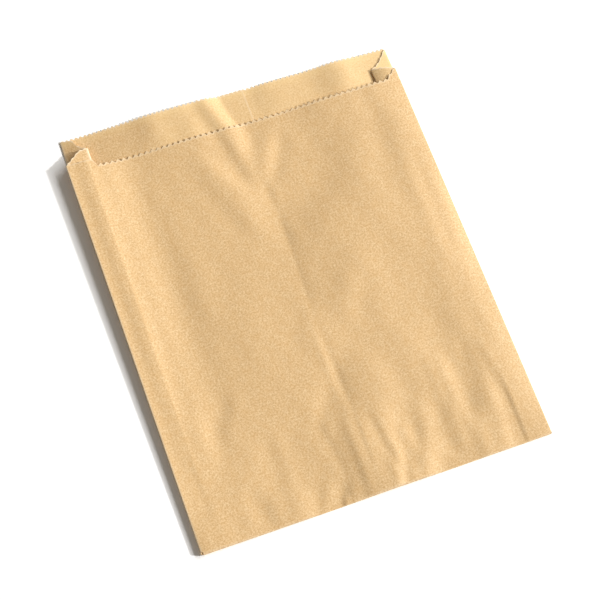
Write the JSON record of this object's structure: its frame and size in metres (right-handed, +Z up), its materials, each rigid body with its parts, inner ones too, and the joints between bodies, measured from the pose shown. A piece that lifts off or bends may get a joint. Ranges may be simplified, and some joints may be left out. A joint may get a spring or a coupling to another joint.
{
  "type": "paper sandwich bag",
  "caption": "Flat natural kraft paper sandwich bag with side gussets, a glued back seam, a turned-up glued bottom and a stepped, toothed mouth, lying on its back.",
  "frame": {"origin": "middle of the bag's width and length, on the surface it lies on", "axes": "+X across the bag, +Y from the bottom fold towards the mouth, +Z up from the surface it lies on"},
  "size_m": [0.165, 0.205, 0.0063],
  "materials": {
    "kraft_paper": "matt unbleached kraft"
  },
  "bodies": {
    "root": {"paper_bag": "kraft_paper"}
  },
  "joints": []
}
